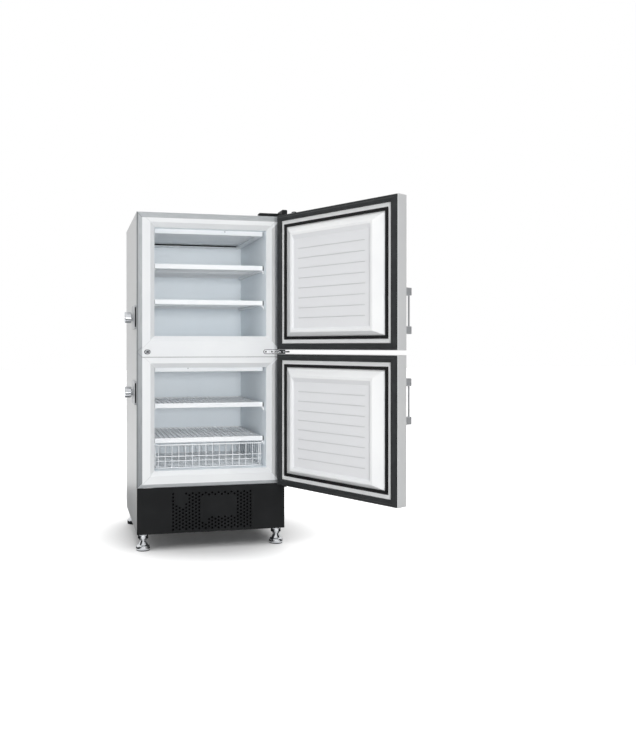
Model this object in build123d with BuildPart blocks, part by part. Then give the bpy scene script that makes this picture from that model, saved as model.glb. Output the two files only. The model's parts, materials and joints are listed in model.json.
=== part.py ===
from build123d import *
import os

# Overall sizes of the cabinet, in millimetres, Z = 0 on the floor
cabinet_width = 800
cabinet_depth = 750
foot_height = 90
base_height = 245
body_height = 1450
sheet = 1.5
trim_sheet = 2
pan_sheet = 3
rear_corner_cut = 42
louvre_count = 7
louvre_pitch = 20
louvre_height = 8
louvre_length = 272
louvre_spread = 320

# Insulated walls and the two compartments
side_wall = 95
rear_wall = 87
top_wall = 75
floor_wall = 83
divider_wall = 168
lower_height = 548

# Front trim: steel flange, white frame and its bevelled reveal
flange_width = 28
reveal = 24
seam_drop = 29
seam_gap = 2.4
bottom_flange = 17

# Oval plug on the divider, opposite the middle hinge
plug_width = 26
plug_height = 18
plug_proud = 4
plug_inset = 55
plug_chamfer = 1.3

# Doors, built closed and then swung open
door_thickness = 64
door_gap = 22
door_standoff = 16
door_top_drop = 4
door_lift = 1
door_corner = 5
hinge_inset = 13
opening_angle = 118
pin_radius = 6
pin_clearance = 0.06
pin_room = 0.6
pin_reach = 28

# Small catch on the upper door's top edge
catch_height = 14
catch_length = 18
catch_width = 9
catch_sheet = 3
catch_inset = 62

# Door seals and the raised inner face
edge_inset = 2
rim_width = 32
rim_step = 12
rim_height = 12.5
rim_outer_height = 9
strip_width = 20
seal_width = 16
seal_height = 10
plug_rise = 34
plug_side_slope = 55
plug_top_slope = 40
plug_bottom_slope = 22
panel_margin = 12
panel_recess = 9
recess_side_slope = 8
recess_top_slope = 22
recess_bottom_slope = 10
groove_count = 8
groove_width = 4
groove_depth = 3
groove_end_gap = 40
rim_chamfer = 2.2
seal_round = 4

# Side latches, and door handles a little further from the door gap
handle_spread = 12
handle_length = 218
handle_post = 37
handle_width = 22
handle_round = 3.5
bar_side_step = 8
bar_end_step = 6
handle_inset = 25
handle_reach = 54
bar_thickness = 6
bar_front_drop = 4
upper_latch_rise = 184
lower_latch_drop = 217
latch_height = 126
latch_length = 185
latch_proud = 11
latch_setback = 18
latch_slot_width = 7
latch_slot_depth = 15
latch_slot_wall = 2
knob_setback = 130
knob_radius = 30
knob_length = 36
knob_neck_radius = 17
knob_neck = 8
knob_chamfer = 3
knob_slot_width = 7.5
knob_slot_depth = 4
latch_slot_length = 106
latch_corner = 5.5
latch_edge = 2.2
spindle_radius = 9
spindle_length = 8
spindle_clearance = 0.06

# Shelves, rails, ceiling trays and basket
shelf_side_gap = 7
shelf_setback = 75
shelf_rear_gap = 8
lip_height = 26
lip_depth = 12
bar_drop = 6
bar_height = 16
wire_radius = 2.5
wire_count = 20
wire_sides = 8
strip_depth = 8
rail_width = 15
rail_height = 10
upper_shelf_a_rise = 363
upper_shelf_b_rise = 171
lower_shelf_a_rise = 328
lower_shelf_b_rise = 141
tray_height = 24
tray_border = 34
tray_recess = 12
basket_height = 132
basket_wire = 4
basket_side_gap = 8
basket_columns = 16
basket_rows = 13
basket_floor_rows = 4
basket_lower_hoop = 44
basket_upper_hoop = 68
tray_slot_lip = 2
tray_slot_depth = 30
tray_round = 4
lip_round = 3

# Black base panel and its air holes, with the two blank areas measured from the pattern's centre
panel_proud = 8
panel_gap = 1
panel_edge = 3
panel_chamfer = 1.5
hole_radius = 6.6
hole_columns = 25
hole_rows = 11
hole_column_pitch = 17.5
hole_row_pitch = 18.8
hole_drop = 8
blank_left = -66
blank_step = -20
blank_right = 128
blank_low_left = -62
blank_low_right = -30
blank_high = 76
round_blank_x = -170
round_blank_z = 60
round_blank_radius = 36

# Cooling machinery behind the base panel
compressor_radius = 72
compressor_height = 165
compressor_crown_width = 44
compressor_crown_height = 26
compressor_spacing = 368
compressor_setback = 187
plate_length = 158
plate_width = 108
plate_corner = 18
plate_thickness = 6
coil_width = 432
coil_setback = 22
coil_depth = 40
coil_top_gap = 12
fin_count = 22
fin_gap = 10
fin_depth = 14
fin_border = 14
shroud_depth = 14
fan_radius = 88
fan_tip_gap = 6
fan_blades = 5
fan_offset = 4
hub_radius = 24
hub_length = 26
hub_bore = 18
blade_chord = 34
blade_sheet = 2.5
blade_pitch = 32
blade_root = 4
shaft_radius = 5
shaft_clearance = 0.06
shaft_reach = 13
motor_radius = 34
motor_length = 58
motor_gap = 4
pedestal_width = 34
pedestal_depth = 23
pedestal_setback = 17

# Levelling feet
foot_inset = 36
foot_front_setback = 42
foot_rear_setback = 84
foot_base_radius = 37
foot_base_height = 31
foot_base_straight = 23
foot_shoulder_radius = 32
foot_neck_radius = 25
foot_waist_radius = 15
foot_waist_level = 51
foot_ring_radius = 18.5
foot_ring_level = 61
foot_collar_radius = 27
foot_collar_level = 72

# Hinge brackets
bracket_thickness = 18
bracket_half_width = 18
bracket_nose = 20
top_plate_reach = 138
top_plate_depth = 66
cap_height = 27
middle_plate_length = 112
middle_plate_height = 20
middle_plate_thickness = 4
tongue_thickness = 8
bottom_leg = 34
bracket_edge_gap = 2
plate_chamfer = 4
cap_chamfer = 4
tongue_round = 30
nose_round = 10

# Levels and faces that several pieces share
half_width = cabinet_width / 2
front = -cabinet_depth / 2
rear = cabinet_depth / 2
base_bottom = foot_height
body_bottom = base_bottom + base_height
body_top = body_bottom + body_height
lower_floor = body_bottom + floor_wall
lower_ceiling = lower_floor + lower_height
upper_floor = lower_ceiling + divider_wall
upper_ceiling = body_top - top_wall
cavity_half = half_width - side_wall
cavity_rear = rear - rear_wall
gap_level = upper_floor - divider_wall / 2
seam = gap_level - seam_drop
mouth_half = cavity_half + reveal
frame_half = half_width - flange_width
frame_top = body_top - flange_width
frame_bottom = body_bottom + bottom_flange
shelf_front = front + shelf_setback
shelf_half = cavity_half - shelf_side_gap
shelf_rear = cavity_rear - shelf_rear_gap
pivot_x = half_width - hinge_inset
door_inner = front - door_standoff
door_outer = door_inner - door_thickness
pivot_y = (door_inner + door_outer) / 2
lower_door_low = body_bottom + door_lift
upper_door_high = body_top - door_top_drop
lower_door_high = gap_level - door_gap / 2
upper_door_low = gap_level + door_gap / 2
upper_latch_level = gap_level + upper_latch_rise
lower_latch_level = gap_level - lower_latch_drop
hinge_axis = Axis((pivot_x, pivot_y, 0), (0, 0, 1))


def block(x_low, x_high, y_low, y_high, z_low, z_high, mode=Mode.ADD):
    centre = ((x_low + x_high) / 2, (y_low + y_high) / 2, (z_low + z_high) / 2)
    with Locations(centre):
        Box(x_high - x_low, y_high - y_low, z_high - z_low, mode=mode)


def facing(depth):
    return Plane.XZ.offset(-depth)


os.makedirs("parts", exist_ok=True)

# Outer sheet metal
def side_panel(face):
    with BuildPart() as panel:
        with BuildSketch(Plane.YZ.offset(face)):
            with BuildLine():
                Polyline(
                    (front + trim_sheet, base_bottom),
                    (rear - rear_corner_cut, base_bottom),
                    (rear, base_bottom + rear_corner_cut),
                    (rear, body_top),
                    (front + trim_sheet, body_top),
                    close=True,
                )
            make_face()
        extrude(amount=sheet)
    return panel


side_panel_left = side_panel(-half_width)
side_panel_left.part.label = "side_panel_left"
export_step(side_panel_left.part, "parts/side_panel_left.step")

side_panel_right = side_panel(half_width - sheet)
side_panel_right.part.label = "side_panel_right"
export_step(side_panel_right.part, "parts/side_panel_right.step")

inner_half = half_width - sheet
with BuildPart() as top_panel:
    block(-inner_half, inner_half, front + trim_sheet, rear, body_top - sheet, body_top)
top_panel.part.label = "top_panel"
export_step(top_panel.part, "parts/top_panel.step")

pan_rear_level = base_bottom + rear_corner_cut
with BuildPart() as base_pan:
    with BuildSketch(Plane.YZ):
        with BuildLine():
            Polyline(
                (front + trim_sheet, base_bottom),
                (rear - rear_corner_cut, base_bottom),
                (rear, pan_rear_level),
                (rear, pan_rear_level + pan_sheet),
                (rear - rear_corner_cut, base_bottom + pan_sheet),
                (front + trim_sheet, base_bottom + pan_sheet),
                close=True,
            )
        make_face()
    extrude(amount=inner_half, both=True)
base_pan.part.label = "base_pan"
export_step(base_pan.part, "parts/base_pan.step")

louvre_level = (pan_rear_level + body_bottom) / 2
with BuildPart() as rear_panel:
    block(-inner_half, inner_half, rear - sheet, rear, pan_rear_level + pan_sheet, body_top - sheet)
    with BuildSketch(facing(rear)):
        with Locations((0, louvre_level)):
            with GridLocations(louvre_spread, louvre_pitch, 2, louvre_count):
                SlotOverall(louvre_length, louvre_height)
    extrude(amount=sheet, mode=Mode.SUBTRACT)
rear_panel.part.label = "rear_panel"
export_step(rear_panel.part, "parts/rear_panel.step")

with BuildPart() as machine_deck:
    block(-inner_half, inner_half, front + trim_sheet, rear - sheet, body_bottom, body_bottom + trim_sheet)
machine_deck.part.label = "machine_deck"
export_step(machine_deck.part, "parts/machine_deck.step")

# Insulated walls, bevelled where they meet the reveals
foam_front = front + trim_sheet
foam_low = body_bottom + trim_sheet
foam_high = body_top - sheet
foam_rear = rear - sheet
liner_half = cavity_half + sheet
bevel_end = foam_front + reveal


def foam_side(side):
    with BuildPart() as foam:
        with BuildSketch(Plane.XY.offset(foam_low)):
            with BuildLine():
                Polyline(
                    (side * inner_half, foam_front),
                    (side * (mouth_half + trim_sheet), foam_front),
                    (side * liner_half, bevel_end),
                    (side * liner_half, foam_rear),
                    (side * inner_half, foam_rear),
                    close=True,
                )
            make_face()
        extrude(amount=foam_high - foam_low)
    return foam


foam_left = foam_side(-1)
foam_left.part.label = "foam_left"
export_step(foam_left.part, "parts/foam_left.step")

foam_right = foam_side(1)
foam_right.part.label = "foam_right"
export_step(foam_right.part, "parts/foam_right.step")

with BuildPart() as foam_back:
    block(-liner_half, liner_half, cavity_rear + sheet, foam_rear, foam_low, foam_high)
foam_back.part.label = "foam_back"
export_step(foam_back.part, "parts/foam_back.step")

with BuildPart() as foam_top:
    with BuildSketch(Plane.YZ):
        with BuildLine():
            Polyline(
                (foam_front, upper_ceiling + reveal + trim_sheet),
                (bevel_end, upper_ceiling + sheet),
                (cavity_rear + sheet, upper_ceiling + sheet),
                (cavity_rear + sheet, foam_high),
                (foam_front, foam_high),
                close=True,
            )
        make_face()
    extrude(amount=liner_half, both=True)
foam_top.part.label = "foam_top"
export_step(foam_top.part, "parts/foam_top.step")

with BuildPart() as foam_divider:
    with BuildSketch(Plane.YZ):
        with BuildLine():
            Polyline(
                (foam_front, lower_ceiling + reveal + trim_sheet),
                (bevel_end, lower_ceiling + sheet),
                (cavity_rear + sheet, lower_ceiling + sheet),
                (cavity_rear + sheet, upper_floor - sheet),
                (bevel_end, upper_floor - sheet),
                (foam_front, upper_floor - reveal - trim_sheet),
                close=True,
            )
        make_face()
    extrude(amount=liner_half, both=True)
foam_divider.part.label = "foam_divider"
export_step(foam_divider.part, "parts/foam_divider.step")

with BuildPart() as foam_floor:
    with BuildSketch(Plane.YZ):
        with BuildLine():
            Polyline(
                (foam_front, foam_low),
                (cavity_rear + sheet, foam_low),
                (cavity_rear + sheet, lower_floor - sheet),
                (bevel_end, lower_floor - sheet),
                (foam_front, lower_floor - reveal - trim_sheet),
                close=True,
            )
        make_face()
    extrude(amount=liner_half, both=True)
foam_floor.part.label = "foam_floor"
export_step(foam_floor.part, "parts/foam_floor.step")


# Steel liners of the two compartments, open at the front
def liner(floor, ceiling):
    with BuildPart() as tank:
        block(-liner_half, liner_half, front + reveal, cavity_rear + sheet, floor - sheet, ceiling + sheet)
        offset(amount=-sheet, openings=tank.faces().sort_by(Axis.Y)[0])
    return tank


upper_liner = liner(upper_floor, upper_ceiling)
upper_liner.part.label = "upper_liner"
export_step(upper_liner.part, "parts/upper_liner.step")

lower_liner = liner(lower_floor, lower_ceiling)
lower_liner.part.label = "lower_liner"
export_step(lower_liner.part, "parts/lower_liner.step")

# Front trim
with BuildPart() as front_flange:
    block(-half_width, half_width, front, front + trim_sheet, body_bottom, body_top)
    block(-frame_half, frame_half, front, front + trim_sheet, frame_bottom, frame_top, Mode.SUBTRACT)
front_flange.part.label = "front_flange"
export_step(front_flange.part, "parts/front_flange.step")


def white_frame(low, high, floor, ceiling):
    middle = (floor + ceiling) / 2
    height = ceiling - floor
    with BuildPart() as frame:
        block(-frame_half, frame_half, front, front + trim_sheet, low, high)
        with BuildSketch(facing(front)):
            with Locations((0, middle)):
                Rectangle(2 * (mouth_half + trim_sheet), height + 2 * (reveal + trim_sheet))
        with BuildSketch(facing(front + reveal)):
            with Locations((0, middle)):
                Rectangle(2 * liner_half, height + 2 * sheet)
        loft()
        with BuildSketch(facing(front)):
            with Locations((0, middle)):
                Rectangle(2 * mouth_half, height + 2 * reveal)
        with BuildSketch(facing(front + reveal)):
            with Locations((0, middle)):
                Rectangle(2 * cavity_half, height)
        loft(mode=Mode.SUBTRACT)
    return frame


upper_frame = white_frame(seam + seam_gap, frame_top, upper_floor, upper_ceiling)
upper_frame.part.label = "upper_frame"
export_step(upper_frame.part, "parts/upper_frame.step")

lower_frame = white_frame(frame_bottom, seam, lower_floor, lower_ceiling)
lower_frame.part.label = "lower_frame"
export_step(lower_frame.part, "parts/lower_frame.step")

with BuildPart() as divider_plug:
    with BuildSketch(facing(front)):
        with Locations((-half_width + plug_inset, gap_level)):
            SlotOverall(plug_width, plug_height)
    extrude(amount=plug_proud)
    chamfer(divider_plug.faces().sort_by(Axis.Y)[0].edges(), plug_chamfer)
divider_plug.part.label = "divider_plug"
export_step(divider_plug.part, "parts/divider_plug.step")


# Ceiling trays over the cooling plates
def ceiling_tray(ceiling):
    low = ceiling - tray_height
    with BuildPart() as tray:
        block(-shelf_half, shelf_half, shelf_front, shelf_rear, low, ceiling)
        inside = shelf_half - tray_border
        recess_rear = shelf_rear - 2 * tray_border
        block(
            -inside, inside,
            shelf_front + tray_border, recess_rear,
            low, low + tray_recess,
            Mode.SUBTRACT,
        )
        block(
            -inside, inside,
            recess_rear, recess_rear + tray_slot_depth,
            low + tray_slot_lip, low + tray_recess,
            Mode.SUBTRACT,
        )
        front_edges = tray.faces().sort_by(Axis.Y)[0].edges().filter_by(Axis.X)
        fillet(front_edges.sort_by(Axis.Z)[0], tray_round)
    return tray


upper_tray = ceiling_tray(upper_ceiling)
upper_tray.part.label = "upper_tray"
export_step(upper_tray.part, "parts/upper_tray.step")

lower_tray = ceiling_tray(lower_ceiling)
lower_tray.part.label = "lower_tray"
export_step(lower_tray.part, "parts/lower_tray.step")


# Wire shelves with a tall front lip, resting on side rails
def shelf(lip_low):
    bar_low = lip_low + bar_drop
    bar_high = bar_low + bar_height
    grid_half = shelf_half - lip_depth
    grid_front = shelf_front + lip_depth
    grid_rear = shelf_rear - lip_depth
    grid_middle = (grid_front + grid_rear) / 2
    wire_level = bar_high - 2 * wire_radius
    wire_pitch = 2 * grid_half / (wire_count + 1)
    with BuildPart() as rack:
        block(-shelf_half, shelf_half, shelf_front, grid_front, lip_low, lip_low + lip_height)
        fillet(rack.faces().sort_by(Axis.Y)[0].edges().filter_by(Axis.X), lip_round)
        block(-shelf_half, -grid_half, grid_front, shelf_rear, bar_low, bar_high)
        block(grid_half, shelf_half, grid_front, shelf_rear, bar_low, bar_high)
        block(-grid_half, grid_half, grid_rear, shelf_rear, bar_low, bar_high)
        block(
            -grid_half, grid_half,
            grid_middle - strip_depth / 2, grid_middle + strip_depth / 2,
            bar_low, wire_level,
        )
        with BuildSketch(facing(grid_front)):
            with Locations((0, wire_level)):
                with GridLocations(wire_pitch, 0, wire_count, 1):
                    RegularPolygon(wire_radius, wire_sides)
        extrude(amount=grid_front - grid_rear)
    return rack


upper_shelf_a = shelf(upper_floor + upper_shelf_a_rise)
upper_shelf_a.part.label = "upper_shelf_a"
export_step(upper_shelf_a.part, "parts/upper_shelf_a.step")

upper_shelf_b = shelf(upper_floor + upper_shelf_b_rise)
upper_shelf_b.part.label = "upper_shelf_b"
export_step(upper_shelf_b.part, "parts/upper_shelf_b.step")

lower_shelf_a = shelf(lower_floor + lower_shelf_a_rise)
lower_shelf_a.part.label = "lower_shelf_a"
export_step(lower_shelf_a.part, "parts/lower_shelf_a.step")

lower_shelf_b = shelf(lower_floor + lower_shelf_b_rise)
lower_shelf_b.part.label = "lower_shelf_b"
export_step(lower_shelf_b.part, "parts/lower_shelf_b.step")


def rails(levels):
    with BuildPart() as ledges:
        for level in levels:
            high = level + bar_drop
            for side in (-1, 1):
                ends = sorted((side * cavity_half, side * (cavity_half - rail_width)))
                block(ends[0], ends[1], shelf_front + 2 * lip_depth, shelf_rear, high - rail_height, high)
    return ledges


upper_rails = rails((upper_floor + upper_shelf_a_rise, upper_floor + upper_shelf_b_rise))
upper_rails.part.label = "upper_rails"
export_step(upper_rails.part, "parts/upper_rails.step")

lower_rails = rails((lower_floor + lower_shelf_a_rise, lower_floor + lower_shelf_b_rise))
lower_rails.part.label = "lower_rails"
export_step(lower_rails.part, "parts/lower_rails.step")

# Wire basket on the lower floor, one grid for each wall
basket_half = cavity_half - basket_side_gap
basket_front = shelf_front
basket_rear = shelf_rear
basket_low = lower_floor
basket_high = basket_low + basket_height
basket_middle = (basket_low + basket_high) / 2
basket_centre = (basket_front + basket_rear) / 2
side_length = basket_rear - basket_front - 2 * basket_wire
hoop_end = (basket_height - basket_wire) / 2
hoop_levels = (-hoop_end, basket_lower_hoop - hoop_end, basket_upper_hoop - hoop_end, hoop_end)


def wall_grid(length, columns):
    column_pitch = (length - basket_wire) / (columns - 1)
    with BuildSketch() as grid:
        with GridLocations(column_pitch, 0, columns, 1):
            Rectangle(basket_wire, basket_height)
        with Locations(*[(0, level) for level in hoop_levels]):
            Rectangle(length, basket_wire)
    return grid.sketch


with BuildPart() as basket_fore:
    with BuildSketch(facing(basket_front)):
        with Locations((0, basket_middle)):
            add(wall_grid(2 * basket_half, basket_columns))
    extrude(amount=-basket_wire)
basket_fore.part.label = "basket_fore"
export_step(basket_fore.part, "parts/basket_fore.step")

with BuildPart() as basket_back:
    with BuildSketch(facing(basket_rear)):
        with Locations((0, basket_middle)):
            add(wall_grid(2 * basket_half, basket_columns))
    extrude(amount=basket_wire)
basket_back.part.label = "basket_back"
export_step(basket_back.part, "parts/basket_back.step")

with BuildPart() as basket_left:
    with BuildSketch(Plane.YZ.offset(-basket_half)):
        with Locations((basket_centre, basket_middle)):
            add(wall_grid(side_length, basket_rows))
    extrude(amount=basket_wire)
basket_left.part.label = "basket_left"
export_step(basket_left.part, "parts/basket_left.step")

with BuildPart() as basket_right:
    with BuildSketch(Plane.YZ.offset(basket_half)):
        with Locations((basket_centre, basket_middle)):
            add(wall_grid(side_length, basket_rows))
    extrude(amount=-basket_wire)
basket_right.part.label = "basket_right"
export_step(basket_right.part, "parts/basket_right.step")

floor_width = 2 * (basket_half - basket_wire)
floor_column_pitch = (floor_width - basket_wire) / (basket_columns - 1)
floor_row_pitch = (side_length - basket_wire) / (basket_floor_rows - 1)
with BuildPart() as basket_floor:
    with BuildSketch(Plane.XY.offset(basket_low)):
        with Locations((0, basket_centre)):
            with GridLocations(floor_column_pitch, 0, basket_columns, 1):
                Rectangle(basket_wire, side_length)
            with GridLocations(0, floor_row_pitch, 1, basket_floor_rows):
                Rectangle(floor_width, basket_wire)
    extrude(amount=basket_wire)
basket_floor.part.label = "basket_floor"
export_step(basket_floor.part, "parts/basket_floor.step")

# Black base panel: a shallow pan with a honeycomb of air holes around two blank areas
panel_low = base_bottom + panel_gap
panel_high = body_bottom - panel_gap
panel_front = front - panel_proud
hole_centre = (panel_low + panel_high) / 2 - hole_drop


def is_open(x, z):
    in_left = blank_left < x < blank_step and blank_low_left < z < blank_high
    in_right = blank_step <= x < blank_right and blank_low_right < z < blank_high
    from_round = ((x - round_blank_x) ** 2 + (z - round_blank_z) ** 2) ** 0.5
    return not in_left and not in_right and from_round > round_blank_radius


hole_places = []
for column in range(hole_columns):
    across = (column - (hole_columns - 1) / 2) * hole_column_pitch
    for row in range(hole_rows - column % 2):
        up = (row - (hole_rows - 1 - column % 2) / 2) * hole_row_pitch
        if is_open(across, up):
            hole_places.append((across, hole_centre + up))

with BuildPart() as grille_panel:
    block(-half_width, half_width, panel_front, front + trim_sheet, panel_low, panel_high)
    offset(amount=-panel_edge, openings=grille_panel.faces().sort_by(Axis.Y)[-1])
    chamfer(grille_panel.faces().sort_by(Axis.Y)[0].edges(), panel_chamfer)
    with BuildSketch(facing(panel_front)):
        with Locations(*hole_places):
            RegularPolygon(hole_radius, 6)
    extrude(amount=-panel_edge, mode=Mode.SUBTRACT)
grille_panel.part.label = "grille_panel"
export_step(grille_panel.part, "parts/grille_panel.step")

# Cooling machinery
machine_floor = base_bottom + pan_sheet
compressor_row = rear - compressor_setback


def compressor(across):
    with BuildPart() as can:
        with BuildSketch(Plane.XY.offset(machine_floor)):
            with Locations((across, compressor_row)):
                RectangleRounded(plate_length, plate_width, plate_corner)
        extrude(amount=plate_thickness)
        with BuildSketch(Plane.XY.offset(machine_floor)):
            with Locations((across, compressor_row)):
                Circle(compressor_radius)
        extrude(amount=compressor_height)
        crown = can.faces().sort_by(Axis.Z)[-1]
        chamfer(crown.edges(), compressor_crown_width, compressor_crown_height, reference=crown)
    return can


compressor_left = compressor(-compressor_spacing / 2)
compressor_left.part.label = "compressor_left"
export_step(compressor_left.part, "parts/compressor_left.step")

compressor_right = compressor(compressor_spacing / 2)
compressor_right.part.label = "compressor_right"
export_step(compressor_right.part, "parts/compressor_right.step")

coil_half = coil_width / 2
coil_front = front + coil_setback
coil_rear = coil_front + coil_depth
coil_high = body_bottom - coil_top_gap
fan_level = (machine_floor + coil_high) / 2
with BuildPart() as condenser:
    block(-coil_half, coil_half, coil_front, coil_rear, machine_floor, coil_high)
    with BuildSketch(facing(coil_front)):
        with Locations((0, fan_level)):
            with GridLocations((coil_width - fin_border) / fin_count, 0, fin_count, 1):
                Rectangle(fin_gap, coil_high - machine_floor - 2 * fin_border)
    extrude(amount=-fin_depth, mode=Mode.SUBTRACT)
condenser.part.label = "condenser"
export_step(condenser.part, "parts/condenser.step")

shroud_rear = coil_rear + shroud_depth
fan_middle = shroud_rear + fan_offset
with BuildPart() as fan_shroud:
    block(-coil_half, coil_half, coil_rear, shroud_rear, machine_floor, coil_high)
    offset(amount=-pan_sheet, openings=fan_shroud.faces().sort_by(Axis.Y)[0])
    with BuildSketch(facing(shroud_rear)):
        with Locations((0, fan_level)):
            Circle(fan_radius + fan_tip_gap)
    extrude(amount=shroud_depth, mode=Mode.SUBTRACT)
fan_shroud.part.label = "fan_shroud"
export_step(fan_shroud.part, "parts/fan_shroud.step")

blade_length = fan_radius - hub_radius + blade_root
with BuildPart() as fan:
    with BuildSketch(facing(fan_middle - hub_length / 2)):
        with Locations((0, fan_level)):
            Circle(hub_radius)
    extrude(amount=-hub_length)
    with Locations(facing(fan_middle)):
        with Locations((0, fan_level, 0)):
            with PolarLocations(fan_radius - blade_length / 2, fan_blades):
                Box(blade_length, blade_chord, blade_sheet, rotation=(blade_pitch, 0, 0))
    with BuildSketch(facing(fan_middle + hub_length / 2)):
        with Locations((0, fan_level)):
            Circle(shaft_radius + shaft_clearance)
    extrude(amount=hub_bore, mode=Mode.SUBTRACT)
fan.part.label = "fan"
export_step(fan.part, "parts/fan.step")

motor_front = fan_middle + hub_length / 2 + motor_gap
pedestal_front = motor_front + pedestal_setback
with BuildPart() as fan_motor:
    with BuildSketch(facing(motor_front)):
        with Locations((0, fan_level)):
            Circle(motor_radius)
    extrude(amount=-motor_length)
    block(
        -pedestal_width / 2, pedestal_width / 2,
        pedestal_front, pedestal_front + pedestal_depth,
        machine_floor, fan_level,
    )
    with BuildSketch(facing(motor_front)):
        with Locations((0, fan_level)):
            Circle(shaft_radius)
    extrude(amount=motor_gap + shaft_reach)
fan_motor.part.label = "fan_motor"
export_step(fan_motor.part, "parts/fan_motor.step")

# Hinge brackets with their pins
bracket_edge = half_width - bracket_edge_gap
bracket_low_x = pivot_x - bracket_half_width
nose = pivot_y - bracket_nose


def pin(low, high):
    with Locations((pivot_x, pivot_y, (low + high) / 2)):
        Cylinder(pin_radius, high - low)


with BuildPart() as top_hinge:
    plate_tip = bracket_edge - top_plate_reach
    plate_front = front + trim_sheet
    plate_rear = plate_front + top_plate_depth
    with BuildSketch(Plane.XY.offset(body_top)):
        with BuildLine():
            Polyline(
                (bracket_low_x, nose),
                (bracket_edge, nose),
                (bracket_edge, plate_rear),
                (plate_tip + top_plate_depth / 2, plate_rear),
                (plate_tip, plate_rear - top_plate_depth / 2),
                (plate_tip, plate_front),
                (bracket_low_x, plate_front),
                close=True,
            )
        make_face()
    extrude(amount=bracket_thickness)
    chamfer(top_hinge.faces().sort_by(Axis.Z)[-1].edges(), plate_chamfer)
    block(bracket_low_x, bracket_edge, nose, plate_front + bracket_nose, body_top, body_top + cap_height)
    chamfer(top_hinge.faces().sort_by(Axis.Z)[-1].edges(), cap_chamfer)
    pin(upper_door_high - pin_reach, body_top + bracket_thickness)
top_hinge.part.label = "top_hinge"
export_step(top_hinge.part, "parts/top_hinge.step")

with BuildPart() as middle_hinge:
    plate_start = bracket_edge - middle_plate_length
    with BuildSketch(facing(front)):
        with Locations(((plate_start + bracket_edge) / 2, gap_level)):
            SlotOverall(middle_plate_length, middle_plate_height)
    extrude(amount=middle_plate_thickness)
    with BuildSketch(Plane.XY.offset(gap_level - tongue_thickness / 2)):
        with Locations((pivot_x, pivot_y)):
            Circle(tongue_round)
        with Locations(((bracket_low_x + bracket_edge) / 2, (pivot_y + front) / 2)):
            Rectangle(bracket_edge - bracket_low_x, front - pivot_y)
    extrude(amount=tongue_thickness)
    pin(lower_door_high - pin_reach, upper_door_low + pin_reach)
middle_hinge.part.label = "middle_hinge"
export_step(middle_hinge.part, "parts/middle_hinge.step")

tongue_high = lower_door_low - door_top_drop
with BuildPart() as bottom_hinge:
    block(
        bracket_low_x, bracket_edge,
        panel_front - middle_plate_thickness, panel_front,
        tongue_high - bottom_leg, tongue_high,
    )
    block(bracket_low_x, bracket_edge, nose, panel_front, tongue_high - tongue_thickness, tongue_high)
    nose_corners = bottom_hinge.faces().sort_by(Axis.Y)[0].edges().filter_by(Axis.Z)
    fillet(nose_corners, nose_round)
    pin(tongue_high - tongue_thickness / 2, lower_door_low + pin_reach)
bottom_hinge.part.label = "bottom_hinge"
export_step(bottom_hinge.part, "parts/bottom_hinge.step")


# Side latches: housing with a bolt slot in its front end and a turning knob
def latch_housing(level):
    latch_front = front + latch_setback
    outer = -half_width - latch_proud
    with BuildPart() as housing:
        block(
            outer, -half_width,
            latch_front, latch_front + latch_length,
            level - latch_height / 2, level + latch_height / 2,
        )
        fillet(housing.edges().filter_by(Axis.X), latch_corner)
        fillet(housing.faces().sort_by(Axis.X)[0].edges(), latch_edge)
        slot_outer = outer + latch_slot_wall
        block(
            slot_outer, slot_outer + latch_slot_width,
            latch_front, latch_front + latch_slot_depth,
            level - latch_slot_length / 2, level + latch_slot_length / 2,
            Mode.SUBTRACT,
        )
        with BuildSketch(Plane.YZ.offset(outer)):
            with Locations((front + knob_setback, level)):
                Circle(spindle_radius + spindle_clearance)
        extrude(amount=spindle_length, mode=Mode.SUBTRACT)
    return housing


upper_latch_housing = latch_housing(upper_latch_level)
upper_latch_housing.part.label = "upper_latch_housing"
export_step(upper_latch_housing.part, "parts/upper_latch_housing.step")

lower_latch_housing = latch_housing(lower_latch_level)
lower_latch_housing.part.label = "lower_latch_housing"
export_step(lower_latch_housing.part, "parts/lower_latch_housing.step")


def latch_knob(level):
    outer = -half_width - latch_proud
    neck_end = outer - knob_neck
    place = (front + knob_setback, level)
    with BuildPart() as knob:
        with BuildSketch(Plane.YZ.offset(neck_end)):
            with Locations(place):
                Circle(knob_radius)
        extrude(amount=-knob_length)
        chamfer(knob.edges().filter_by(GeomType.CIRCLE), knob_chamfer)
        with BuildSketch(Plane.YZ.offset(neck_end - knob_length)):
            with Locations(place):
                Rectangle(2 * knob_radius, knob_slot_width)
        extrude(amount=knob_slot_depth, mode=Mode.SUBTRACT)
        with BuildSketch(Plane.YZ.offset(neck_end)):
            with Locations(place):
                Circle(knob_neck_radius)
        extrude(amount=knob_neck - pin_room)
        with BuildSketch(Plane.YZ.offset(neck_end)):
            with Locations(place):
                Circle(spindle_radius)
        extrude(amount=knob_neck + spindle_length - pin_room)
    return knob


upper_latch_knob = latch_knob(upper_latch_level)
upper_latch_knob.part.label = "upper_latch_knob"
export_step(upper_latch_knob.part, "parts/upper_latch_knob.step")

lower_latch_knob = latch_knob(lower_latch_level)
lower_latch_knob.part.label = "lower_latch_knob"
export_step(lower_latch_knob.part, "parts/lower_latch_knob.step")


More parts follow.
